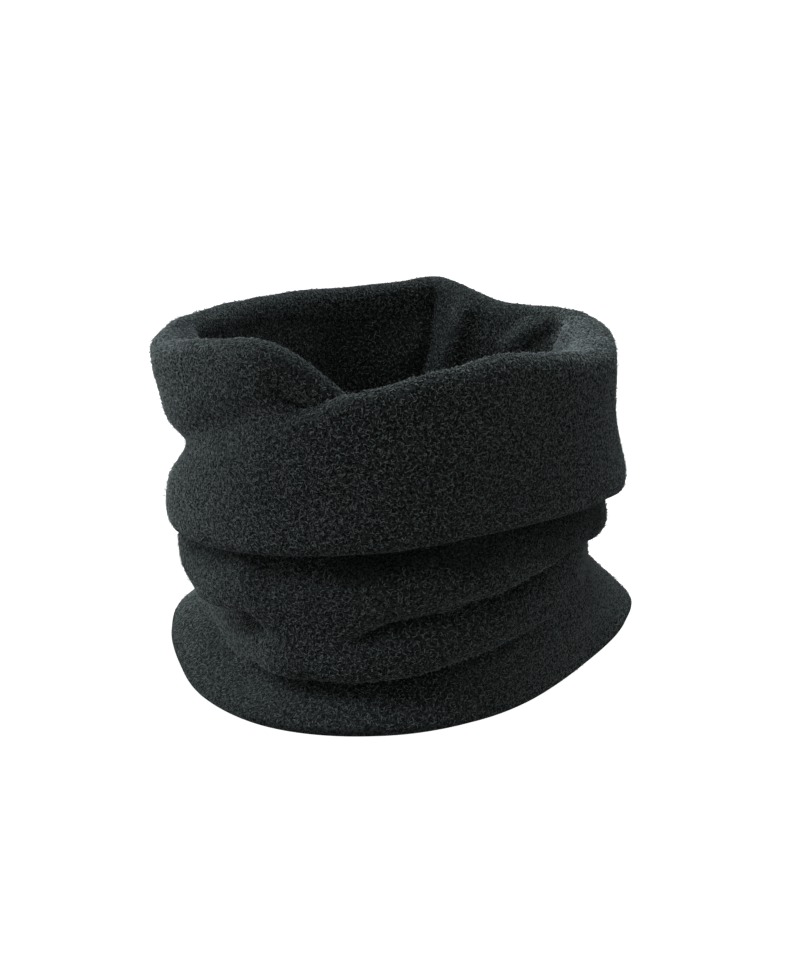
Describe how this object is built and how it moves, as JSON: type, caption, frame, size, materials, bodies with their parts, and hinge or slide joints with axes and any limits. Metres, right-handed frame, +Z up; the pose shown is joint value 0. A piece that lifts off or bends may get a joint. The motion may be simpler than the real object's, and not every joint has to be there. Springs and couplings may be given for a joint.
{
  "type": "neck gaiter",
  "caption": "Double-layer fleece neck gaiter standing on its hem, with soft slouch folds and its collar turned down outwards as a deep cuff.",
  "frame": {"origin": "centre of the hem's underside, on the surface the gaiter stands on", "axes": "+Z up through the neck opening; +Y towards the back seams; -Y is the front"},
  "size_m": [0.178, 0.178, 0.124],
  "materials": {
    "outer_fleece": "brushed charcoal fleece with short paler fibres",
    "lining_fleece": "brushed charcoal fleece with short paler fibres",
    "thread": "matte twisted sewing thread"
  },
  "bodies": {
    "tube": {"outer_tube": "outer_fleece", "lining_tube": "lining_fleece", "tube_outer_seam": "thread", "tube_lining_seam": "thread", "hem_seam": "thread"},
    "collar": {"outer_collar": "outer_fleece", "lining_collar": "lining_fleece", "collar_outer_seam": "thread", "collar_lining_seam": "thread", "cuff_edge_seam": "thread"}
  },
  "joints": [
    {"name": "collar_pull", "type": "slide", "parent": "tube", "child": "collar", "axis": [0, 0, 1], "range_m": [0, 0.04]}
  ]
}
